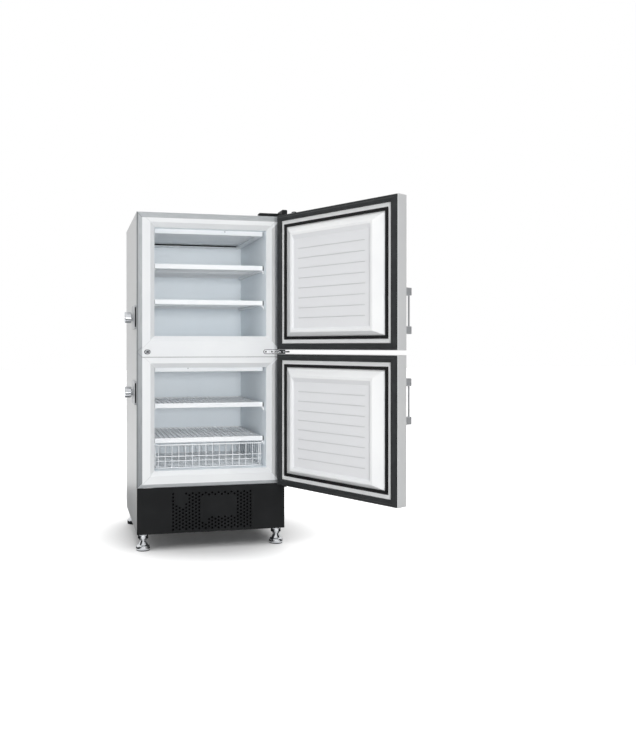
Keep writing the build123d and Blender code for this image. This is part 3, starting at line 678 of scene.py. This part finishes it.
def turned(bm, profile, place, segments, lobes=0):
    # (radius, height, lobe depth) rows spun about the local Z, then moved by place
    rings = []
    for radius, height, depth in profile:
        ring = []
        for step in range(segments):
            angle = 2 * math.pi * step / segments
            reach = radius * (1 + depth * math.cos(lobes * angle))
            spot = Vector((reach * math.cos(angle), reach * math.sin(angle), height))
            ring.append(bm.verts.new(place @ spot))
        rings.append(ring)
    bridge(bm, rings, False, True)


def facing(point, direction):
    turn = Vector(direction).to_track_quat("Z", "Y").to_matrix().to_4x4()
    return Matrix.Translation(Vector(point)) @ turn


screwHead = {
    "radius": 0.0045, "height": 0.0026, "socket": 0.0021, "depth": 0.0015,
    "dome": ((1.0, 0.0), (1.0, 0.35), (0.9, 0.75), (0.66, 1.0)),  # shares of radius and height
    "flare": 1.1, "lobe": 0.12, "lobes": 6, "segments": 24,
}
smallHead = dict(screwHead, radius=0.0036, height=0.002, socket=0.0016, depth=0.0012)


def addScrew(bm, point, direction, s):
    profile = [(s["radius"] * wide, s["height"] * rise, 0) for wide, rise in s["dome"]]
    profile.append((s["socket"] * s["flare"], s["height"], s["lobe"]))
    profile.append((s["socket"], s["height"] - s["depth"], s["lobe"]))
    turned(bm, profile, facing(point, direction), s["segments"], s["lobes"])


# wire basket
basketSet = {
    "columns": 16, "rows": 12, "wire": 0.0019, "rim": 0.003, "corner": 0.014, "sides": 10,
    "middleHoops": (0.044, 0.068), "hoopSteps": 5, "hangerSteps": 4,
}
basketNodes = ("basket_fore", "basket_back", "basket_left", "basket_right", "basket_floor")


def buildBasket(s):
    boxes = [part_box(name) for name in basketNodes]
    low = Vector(map(min, *(box[0] for box in boxes)))
    high = Vector(map(max, *(box[1] for box in boxes)))
    wire, rim = s["wire"], s["rim"]
    inner = 3 * wire
    base = low.z + wire
    top = high.z - rim
    bm = bmesh.new()

    def hoop(level, radius, inset):
        x0, x1 = low.x + inset, high.x - inset
        y0, y1 = low.y + inset, high.y - inset
        corners = [Vector((x, y, level)) for x, y in ((x0, y0), (x1, y0), (x1, y1), (x0, y1))]
        path = roundPath(corners, s["corner"], s["hoopSteps"], True)
        tube(bm, path, radius, s["sides"], closed=True)

    def hanger(first, second, bottom):  # down from the rim, along the floor and up again
        rows = zip((first, first, second, second), (top, bottom, bottom, top))
        corners = [Vector((x, y, level)) for (x, y), level in rows]
        tube(bm, roundPath(corners, s["corner"], s["hangerSteps"], False), wire, s["sides"])

    hoop(top, rim, rim)
    hoop(low.z + inner, wire, wire)
    for rise in s["middleHoops"]:
        hoop(low.z + rise, wire, wire)
    for k in range(s["columns"]):
        share = (k + 0.5) / s["columns"]
        x = low.x + (high.x - low.x) * share
        hanger((x, low.y + inner), (x, high.y - inner), base)
    for k in range(s["rows"]):
        share = (k + 0.5) / s["rows"]
        y = low.y + (high.y - low.y) * share
        hanger((low.x + inner, y), (high.x - inner, y), base + 2 * wire)
    piece = makePiece("basketWires", bm, "coated_white", "basket")
    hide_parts(*basketNodes)


buildBasket(basketSet)
print("basket woven")

# shelves: cross wires under the grid, dark end caps on the lip, clips on the rails
shelfSet = {"crossWires": 12, "wire": 0.0022, "drop": 0.0094, "inset": 0.012, "sides": 8}
lipCap = {"thick": 0.0045, "round": 0.0012, "margin": 0.0008}
railClip = {
    "width": 0.012, "length": 0.02, "height": 0.0075, "leg": 0.018, "legWidth": 0.005,
    "gap": 0.0015, "round": 0.0012,
}
shelfBodies = {
    "upper_shelf_a": "upper_rack_a",
    "upper_shelf_b": "upper_rack_b",
    "lower_shelf_a": "lower_rack_a",
    "lower_shelf_b": "lower_rack_b",
}
lipDepth = 0.012
barTop = 0.022  # top of the side bars over the lip's lower edge


def buildShelfWires(node, s):
    low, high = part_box(node)
    bm = bmesh.new()
    level = low.z + barTop - s["drop"]
    reach = high.y - low.y - 2 * lipDepth
    for k in range(s["crossWires"]):
        y = low.y + lipDepth + reach * (k + 0.5) / s["crossWires"]
        ends = [Vector((low.x + s["inset"], y, level)), Vector((high.x - s["inset"], y, level))]
        tube(bm, ends, s["wire"], s["sides"])
    makePiece("crossWires_" + node, bm, "coated_white", shelfBodies[node])


def buildLipCaps(node, s):
    low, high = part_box(node)
    bm = bmesh.new()
    for side, face in ((-1, low.x), (1, high.x)):
        ends = sorted((face, face + side * s["thick"]))
        softBox(
            bm,
            (ends[0], low.y + s["margin"], low.z + s["margin"]),
            (ends[1], low.y + lipDepth, high.z - s["margin"]),
            s["round"],
        )
    makePiece("lipCaps_" + node, bm, "rim_rubber", shelfBodies[node])


def buildRailClips(node, s):
    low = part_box(node)[0]
    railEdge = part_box(node.split("_")[0] + "_rails")[1].x
    front = low.y + s["gap"]
    back = front + s["length"]
    top = low.z - s["gap"]
    saddle = (s["width"], top - s["height"], top)  # width, lower and upper level
    leg = (s["legWidth"], top - s["leg"], top - s["height"] / 2)
    bm = bmesh.new()
    for side in (-1, 1):
        face = side * railEdge
        for width, under, over in (saddle, leg):
            ends = sorted((face, face - side * width))
            softBox(bm, (ends[0], front, under), (ends[1], back, over), s["round"])
    makePiece("railClips_" + node, bm, "coated_white", "cabinet")


for node in shelfBodies:
    buildShelfWires(node, shelfSet)
    buildLipCaps(node, lipCap)
    buildRailClips(node, railClip)
print("shelves fitted")

# door seals, swept around the closed door and turned open with it
doorSet = {
    "half": 0.4, "skin": 0.0015, "linerFace": -0.389, "cornerRound": 0.0012, "cornerAngle": 60,
}
rimProfile = (  # (inset from the door's edge, height over the liner), metres
    (0.002, 0.0), (0.002, 0.0072), (0.0032, 0.0086), (0.0052, 0.009), (0.0118, 0.009),
    (0.0132, 0.0094), (0.0142, 0.0108), (0.0156, 0.012), (0.0176, 0.0125), (0.0228, 0.0125),
    (0.0234, 0.0117), (0.0242, 0.0117), (0.0248, 0.0125), (0.0306, 0.0122), (0.0328, 0.011),
    (0.034, 0.0088), (0.034, 0.0),
)
sealProfile = (
    (0.054, 0.0), (0.054, 0.0048), (0.0552, 0.0078), (0.0574, 0.0095), (0.06, 0.01),
    (0.0614, 0.0094), (0.062, 0.0082), (0.0626, 0.0094), (0.064, 0.01), (0.0666, 0.0095),
    (0.0688, 0.0078), (0.07, 0.0048), (0.07, 0.0),
)


def doorEdges(door, s):
    low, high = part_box(door + "_core")
    return low.z - s["skin"], high.z + s["skin"]


def buildRing(name, node, door, profile, slot, s):
    low, high = doorEdges(door, s)
    bm = bmesh.new()
    rings = []
    for inset, height in profile:
        x, y = s["half"] - inset, s["linerFace"] + height
        corners = ((-x, low + inset), (x, low + inset), (x, high - inset), (-x, high - inset))
        rings.append([bm.verts.new(doorTurn @ Vector((cx, y, cz))) for cx, cz in corners])
    bridge(bm, rings, True, False)
    piece = makePiece(name, bm, slot, door, smooth=False)
    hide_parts(node)
    soften(piece, "softCorners", s["cornerRound"], math.radians(s["cornerAngle"]))


for door in doors:
    buildRing("sweptRim_" + door, door + "_rim", door, rimProfile, "rim_rubber", doorSet)
    buildRing("sweptSeal_" + door, door + "_seal", door, sealProfile, "seal_rubber", doorSet)
print("door seals swept")

# rubber pad on the upper door's small catch, laid out on the closed door
catchPad = {
    "x": (0.3055, 0.3265), "y": (-0.4335, -0.4185), "top": 0.0145, "thick": 0.005,
    "leg": 0.0105, "round": 0.0008,
}


def buildCatchPad(s):
    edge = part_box("upper_door_rim")[1].z + doorSet["skin"]
    left, right = s["x"]
    fore, aft = s["y"]
    top = edge + s["top"]
    legLow = (right - s["thick"] / 2, fore, top - s["leg"])
    bm = bmesh.new()
    softBox(bm, (left, fore, top - s["thick"]), (right, aft, top), s["round"])
    softBox(bm, legLow, (right, aft, top - s["round"]), s["round"])
    bmesh.ops.transform(bm, matrix=doorTurn, verts=bm.verts)
    makePiece("catchPad", bm, "rim_rubber", "upper_door")


buildCatchPad(catchPad)
print("catch padded")

# screws
screwPlaces = {
    "hingeX": (0.296, 0.33), "hingePlate": 0.004,
    "topHingeX": (0.29, 0.33), "topPlate": 0.018, "topInset": 0.03,
    "trayX": {"upper_tray": 0.085, "lower_tray": -0.118}, "trayDrop": 0.006,
    "sideLevels": (1.371, 1.013), "sideInset": 0.02,
}


def buildScrews(s):
    front = flangeEdges[0].y
    hingeLow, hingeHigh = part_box("middle_hinge")
    middle = (hingeLow.z + hingeHigh.z) / 2
    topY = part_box("top_hinge")[1].y - s["topInset"]
    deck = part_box("top_panel")[1].z + s["topPlate"]
    bm = bmesh.new()
    for x in s["hingeX"]:
        addScrew(bm, (x, front - s["hingePlate"], middle), (0, -1, 0), screwHead)
    for x in s["topHingeX"]:
        addScrew(bm, (x, topY, deck), (0, 0, 1), screwHead)
    makePiece("hingeScrews", bm, "machine_black", "cabinet")

    bm = bmesh.new()
    for tray, x in s["trayX"].items():
        low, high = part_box(tray)
        addScrew(bm, (x, low.y, high.z - s["trayDrop"]), (0, -1, 0), smallHead)
    for level in s["sideLevels"]:
        addScrew(bm, (-doorSet["half"], front + s["sideInset"], level), (-1, 0, 0), smallHead)
    makePiece("panelScrews", bm, "handle_metal", "cabinet")


buildScrews(screwPlaces)
print("screws set")

# seam joint, plug ring, latch mouths and cooling slots, with painted shade in the dark seam strip, latch blocks
# and slot plates
seamSealAndShade = {"sink": 0.0004, "thick": 0.0014, "round": 0.0004, "beads": 2}


def buildSeamSealAndShade(s):
    # a dark rubber strip in the seam between the frames: a sealing joint, and painted shade that makes the seam
    # read as a dark line
    below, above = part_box("lower_frame"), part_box("upper_frame")
    front = below[0].y + s["sink"]
    step = (above[0].z - below[1].z) / s["beads"]
    bm = bmesh.new()
    for bead in range(s["beads"]):
        base = below[1].z + bead * step
        softBox(
            bm, (below[0].x, front, base), (below[1].x, front + s["thick"], base + step), s["round"]
        )
    makePiece("seamSealAndShade", bm, "rim_rubber", "cabinet")


plugRing = {
    "wire": 0.0016, "sides": 10, "steps": 8, "bend": 0.998,
    "slot": (0.0085, 0.005), "sink": 0.001, "rise": 0.0003,
}


def buildPlugRing(s):
    low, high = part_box("divider_plug")
    wire = s["wire"]
    middle = (low + high) / 2
    across, up = s["slot"]
    wide, tall = (low.x - wire, high.x + wire), (low.z - wire, high.z + wire)
    bm = bmesh.new()
    uprightRing(bm, wide, high.y - wire, tall, s)
    softBox(
        bm,
        (middle.x - across, low.y - s["rise"], middle.z - up),
        (middle.x + across, low.y + s["sink"], middle.z + up),
        s["rise"],
    )
    makePiece("plugRing", bm, "rim_rubber", "cabinet")


latchMouth = {
    "wall": 0.002, "width": 0.007, "depth": 0.015, "length": 0.106, "gap": 0.0004,
    "sink": 0.0022, "ridges": 9, "ridge": 0.0014, "rise": 0.0008, "round": 0.0005,
}


def buildLatchMouth(name, node, s):
    low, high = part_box(node)
    middle = (low.z + high.z) / 2
    half = s["length"] / 2 - s["gap"]
    x0 = low.x + s["wall"] + s["gap"]
    x1 = low.x + s["wall"] + s["width"] - s["gap"]
    face = low.y + s["sink"]
    rear = low.y + s["depth"] - s["gap"]
    # a near-black ridged rubber block fills the latch housing's mouth: partly an insert, partly painted shade for
    # the hollow
    bm = bmesh.new()
    softBox(bm, (x0, face, middle - half), (x1, rear, middle + half), s["round"])
    for k in range(s["ridges"]):
        z = middle + half * ((2 * k + 1) / s["ridges"] - 1)
        softBox(
            bm,
            (x0, face - s["rise"], z - s["ridge"]),
            (x1, face + s["rise"], z + s["ridge"]),
            s["round"],
        )
    makePiece(name, bm, "seal_rubber", "cabinet")


slotShadePlate = {
    "border": 0.034, "recess": 0.012, "lip": 0.002, "depth": 0.03, "gap": 0.0005,
    "fins": 44, "fin": 0.0006, "plate": 0.004, "round": 0.0002,
}


def buildSlotShadePlate(name, node, s):
    low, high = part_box(node)
    x0, x1 = low.x + s["border"] + s["gap"], high.x - s["border"] - s["gap"]
    rear = high.y - 2 * s["border"] + s["depth"] - s["gap"]
    z0, z1 = low.z + s["lip"] + s["gap"], low.z + s["recess"] - s["gap"]
    bm = bmesh.new()
    # painted shade: a black finned plate at the back of the tray's slot, so that the slot reads dark
    softBox(bm, (x0, rear - s["plate"], z0), (x1, rear, z1), s["round"])
    for k in range(s["fins"]):
        x = x0 + (x1 - x0) * (k + 0.5) / s["fins"]
        softBox(
            bm,
            (x - s["fin"], rear - s["depth"] / 2, z0),
            (x + s["fin"], rear - s["plate"] / 2, z1),
            s["round"],
        )
    makePiece(name, bm, "machine_black", "cabinet")


buildSeamSealAndShade(seamSealAndShade)
buildPlugRing(plugRing)
for place in ("upper", "lower"):
    buildLatchMouth("latchMouth_" + place, place + "_latch_housing", latchMouth)
    buildSlotShadePlate("slotShadePlate_" + place, place + "_tray", slotShadePlate)
print("joints and slots filled")

# folded front edges of the side panels
edgeTrim = {"width": 0.014, "proud": 0.0012, "lift": 0.245, "round": 0.0005}


def buildEdgeTrim(name, node, side, s):
    low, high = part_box(node)
    face = high.x if side > 0 else low.x
    front = flangeEdges[0].y
    foot = low.z + s["lift"]
    ends = sorted((face, face + side * s["proud"]))
    bm = bmesh.new()
    softBox(bm, (ends[0], front, foot), (ends[1], front + s["width"], high.z), s["round"])
    makePiece(name, bm, "flange_steel", "cabinet")


buildEdgeTrim("edgeTrim_left", "side_panel_left", -1, edgeTrim)
buildEdgeTrim("edgeTrim_right", "side_panel_right", 1, edgeTrim)
print("side edges folded")

# folded strips on the hinge side of the doorway and a gasket round the middle hinge's plate
hingeStrip = {
    "inner": 0.3305, "ridge": 0.3505, "outer": 0.3715, "proud": 0.0009, "step": 0.0003,
    "sink": 0.001, "hingeGap": 0.016, "seamGap": 0.001,
}
hingeGasket = {
    "start": 0.286, "end": 0.39, "level": 1.05, "half": 0.01,
    "wire": 0.0014, "sides": 10, "steps": 8, "bend": 0.998,
}


def buildStrip(name, slot, edges, proud, low, high, s):
    # a mitred strip: its ends run at 45 degrees towards the doorway
    front = flangeEdges[0].y
    left, right = edges
    root, shoulder, crest = front + s["sink"], front - proud + s["step"], front - proud
    profile = (
        (left, root), (left, shoulder), (left + s["step"], crest),
        (right - s["step"], crest), (right, shoulder), (right, root),
    )
    bm = bmesh.new()
    rings = []
    for level, cut in ((low, 1), (high, -1)):
        rings.append([bm.verts.new((x, y, level + cut * (s["outer"] - x))) for x, y in profile])
    bridge(bm, rings, False, True)
    makePiece(name, bm, slot, "cabinet", smooth=False)


def buildHingeStrips(s, gasket):
    below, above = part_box("lower_frame"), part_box("upper_frame")
    spans = {
        "upper": (gasket["level"] + s["hingeGap"], above[1].z),
        "lower": (below[0].z, below[1].z - s["seamGap"]),
    }
    inner, outer = (s["inner"], s["ridge"]), (s["ridge"], s["outer"])
    land = s["proud"] - s["step"]
    for place, (low, high) in spans.items():
        buildStrip("hingeStrip_" + place, "cabinet_grey", inner, s["proud"], low, high, s)
        buildStrip("hingeLand_" + place, "flange_steel", outer, land, low, high, s)


def buildHingeGasket(s):
    reach = s["half"] + s["wire"]
    wide, tall = (s["start"] - s["wire"], s["end"]), (s["level"] - reach, s["level"] + reach)
    bm = bmesh.new()
    uprightRing(bm, wide, flangeEdges[0].y, tall, s)
    makePiece("hingeGasket", bm, "seal_rubber", "cabinet")


buildHingeStrips(hingeStrip, hingeGasket)
buildHingeGasket(hingeGasket)
print("hinge side trimmed")

# turned levelling feet on rubber pads
footSet = {
    "profile": (  # (radius, height), metres
        (0.0345, 0.0042), (0.0365, 0.0052), (0.037, 0.0075), (0.037, 0.0205), (0.0362, 0.0232),
        (0.0325, 0.027), (0.031, 0.0282), (0.0272, 0.0292), (0.0262, 0.031), (0.0162, 0.0505),
        (0.0158, 0.0535), (0.0185, 0.0538), (0.0192, 0.0548), (0.0192, 0.0612), (0.0182, 0.0622),
        (0.0258, 0.0626), (0.027, 0.0638), (0.027, 0.0885), (0.0262, 0.0898),
    ),
    "pad": ((0.0345, 0.0), (0.0358, 0.0008), (0.0358, 0.0036), (0.034, 0.0044)),
    "segments": 56,
}
footBodies = {
    "foot_front_left": "foot_fl",
    "foot_front_right": "foot_fr",
    "foot_rear_left": "foot_rl",
    "foot_rear_right": "foot_rr",
}


def buildFoot(node, body, s):
    low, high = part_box(node)
    place = Matrix.Translation(((low.x + high.x) / 2, (low.y + high.y) / 2, low.z))
    for part, rows, slot in (("turned", s["profile"], "chrome"), ("pad", s["pad"], "rim_rubber")):
        bm = bmesh.new()
        turned(bm, [(radius, height, 0) for radius, height in rows], place, s["segments"])
        piece = makePiece(part + "_" + node, bm, slot, body)
        if part == "turned":
            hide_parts(node)


for node, body in footBodies.items():
    buildFoot(node, body, footSet)
print("feet turned")

# pleated air filter behind the base panel's holes, its felt near black: partly the filter's own colour, partly
# painted shade for the holes
filterSet = {
    "half": 0.228, "low": 0.098, "high": 0.312, "pleats": 38,
    "front": 0.0036, "depth": 0.0045, "back": 0.0095,
}


def buildFilter(s):
    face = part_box("grille_panel")[0].y
    outline = [(s["half"], face + s["back"]), (-s["half"], face + s["back"])]
    for k in range(2 * s["pleats"] + 1):
        inward = s["depth"] * (k % 2)
        outline.append((s["half"] * (k / s["pleats"] - 1), face + s["front"] + inward))
    bm = bmesh.new()
    rings = [[bm.verts.new((x, y, level)) for x, y in outline] for level in (s["low"], s["high"])]
    bridge(bm, rings, False, True)
    makePiece("airFilter", bm, "machine_black", "cabinet", smooth=False, material=feltFinish)


buildFilter(filterSet)
print("filter pleated")

# floor, lamps, world and camera
floorSet = {
    "half": 30.0, "cells": 4, "drop": 0.0002, "bright": (244, 244, 244), "dim": (205, 205, 205),
    "drift": 0.6, "rough": (0.85, 0.95), "glow": (0.46, 0.46, 0.46, 1.0), "glowFrom": (0.37, 0.8),
}


def seenRays(shader):  # rays that show the background to the eye, metal or glass
    ends = shader.node("LightPath").socket.node.outputs
    camera, glossy, through = (
        Sock(shader, ends["Is " + ray + " Ray"]) for ray in ("Camera", "Glossy", "Transmission")
    )
    return camera.most(glossy).most(through)


def buildFloor(s):
    f = Finish("studioFloor")
    drift = f.noise(s["drift"])
    away = f.node("VectorMath", {"operation": "LENGTH"}, {0: f.place}, out="Value")
    f.set(
        baseColor=tone(*s["bright"]),
        roughness=drift.spread(*s["rough"]),
        specular=0.0,
        # painted light: the floor glows for the eye from the first glow radius outwards, full by the second,
        # whitening the shadows there, while close to the cabinet it keeps its shade
        glow=f.mix(away.fade(*s["glowFrom"]), tone(0, 0, 0), s["glow"]),  # clear of the cabinet
        glowStrength=1.0,
    )
    bright = Sock(f, f.surface.outputs[0])
    dim = f.node("BsdfDiffuse", None, {"Color": tone(*s["dim"])})
    output = f.tree.nodes["Material Output"]
    f.feed(output.inputs[0], f.node("MixShader", None, {0: seenRays(f), 1: dim, 2: bright}))
    bm = bmesh.new()
    bmesh.ops.create_grid(bm, x_segments=s["cells"], y_segments=s["cells"], size=s["half"])
    floor = addMesh("studioFloor", bm, f.material)
    floor.location.z = -s["drop"]


# painted reflections: these dark cards are seen only in glossy surfaces; the ones on the floor round the feet
# stand in for the shaded floor there
darkCards = {  # each card's corner and the two edges from it
    "leftCard": ((-3.2, -6.4, 0.0), (0, 6.2, 0), (0, 0, 2.8)),
    "rightCard": ((3.0, -6.4, 0.0), (0, 6.2, 0), (0, 0, 2.8)),
    "apronCard": ((-3.0, -2.0, 0.01), (6.0, 0, 0), (0, 1.0, 0)),
    "leftSkirt": ((-1.3, -0.42, 0.003), (0.88, 0, 0), (0, 0.11, 0)),
    "middleSkirt": ((-0.31, -0.42, 0.003), (0.62, 0, 0), (0, 0.11, 0)),
    "rightSkirt": ((0.42, -0.42, 0.003), (0.88, 0, 0), (0, 0.11, 0)),
    "rearSkirt": ((-1.3, -0.31, 0.003), (2.6, 0, 0), (0, 1.8, 0)),
    "leftWing": ((-1.3, -0.64, 0.003), (0.79, 0, 0), (0, 0.22, 0)),
    "middleWing": ((-0.22, -0.64, 0.003), (0.44, 0, 0), (0, 0.22, 0)),
    "rightWing": ((0.51, -0.64, 0.003), (0.79, 0, 0), (0, 0.22, 0)),
}
cardFinish = {"grey": (46, 47, 49), "weave": 2.0, "rough": (0.85, 0.95)}


def buildDarkCards(cards, s):  # seen in reflections only
    f = Finish("darkCard")
    weave = f.noise(s["weave"])
    f.set(baseColor=tone(*s["grey"]), roughness=weave.spread(*s["rough"]), specular=0.0)
    for name, (corner, along, up) in cards.items():
        corner, along, up = Vector(corner), Vector(along), Vector(up)
        corners = (corner, corner + along, corner + along + up, corner + up)
        bm = bmesh.new()
        bm.faces.new([bm.verts.new(spot) for spot in corners])
        card = addMesh(name, bm, f.material)
        card.visible_camera = False
        card.visible_diffuse = False
        card.visible_shadow = False


lampSet = {  # a lamp with a spread is far off, the others are panels
    "overhead": {"power": 2.4, "spread": 100.0, "from": (-0.2, -0.3, 4.6), "to": (0.0, 0.0, 0.0)},
    "front": {"power": 460.0, "size": (2.6, 1.6), "from": (-0.3, -11.0, 1.45), "to": (0.0, 0.0, 1.25)},
    "high": {"power": 45.0, "size": (3.0, 2.0), "from": (-0.5, -7.0, 5.2), "to": (0.0, -0.3, 0.9)},
    "left": {"power": 29.0, "size": (2.5, 2.5), "from": (-4.5, -2.2, 2.0), "to": (0.0, -0.4, 1.0)},
    "rear": {"power": 60.0, "size": (3.0, 3.0), "from": (1.5, 5.5, 2.4), "to": (0.0, 0.3, 0.9)},
}
ambient = 0.11


def addLamps(lamps):
    for name, s in lamps.items():
        far = "spread" in s
        data = bpy.data.lights.new(name + "Lamp", "SUN" if far else "AREA")
        data.energy = s["power"]
        if far:
            data.angle = math.radians(s["spread"])
        else:
            data.shape = "RECTANGLE"
            data.size, data.size_y = s["size"]
        lamp = bpy.data.objects.new(name + "Lamp", data)
        lamp.location = s["from"]
        aim = Vector(s["to"]) - lamp.location
        lamp.rotation_euler = aim.to_track_quat("-Z", "Y").to_euler()
        lamp.visible_camera = False
        lamp.visible_glossy = False  # metal shows the plain backdrop
        bpy.context.scene.collection.objects.link(lamp)


def lightWorld(strength):
    world = bpy.data.worlds.new("studioWorld")
    bpy.context.scene.world = world
    world.use_nodes = True
    w = Shader(world.node_tree)
    w.tree.nodes.clear()
    lighting = w.node("Background", None, {"Color": (1, 1, 1, 1), "Strength": strength})
    backdrop = w.node("Background", None, {"Color": (1, 1, 1, 1), "Strength": 1.0})
    mixed = w.node("MixShader", None, {0: seenRays(w), 1: lighting, 2: backdrop})
    output = w.tree.nodes.new("ShaderNodeOutputWorld")
    w.feed(output.inputs[0], mixed)


cameraSet = {
    "imageHeight": 744, "sensor": 36.0, "focalPixels": 767.1, "offset": (-80.2, -23.1),
    "place": (-0.741, -4.411, 1.082), "yaw": 12.33, "pitch": -0.23,
}


def placeCamera(s):
    data = bpy.data.cameras.new("photoCamera")
    data.sensor_fit = "VERTICAL"
    data.sensor_height = s["sensor"]
    data.lens = s["focalPixels"] * s["sensor"] / s["imageHeight"]
    data.shift_x = -s["offset"][0] / s["imageHeight"]
    data.shift_y = s["offset"][1] / s["imageHeight"]
    camera = bpy.data.objects.new("photoCamera", data)
    camera.location = s["place"]
    camera.rotation_euler = (math.radians(90 + s["pitch"]), 0, math.radians(-s["yaw"]))
    bpy.context.scene.collection.objects.link(camera)
    bpy.context.scene.camera = camera


buildFloor(floorSet)
buildDarkCards(darkCards, cardFinish)
addLamps(lampSet)
lightWorld(ambient)
placeCamera(cameraSet)
bpy.context.scene.view_settings.view_transform = "Standard"
print("studio set")
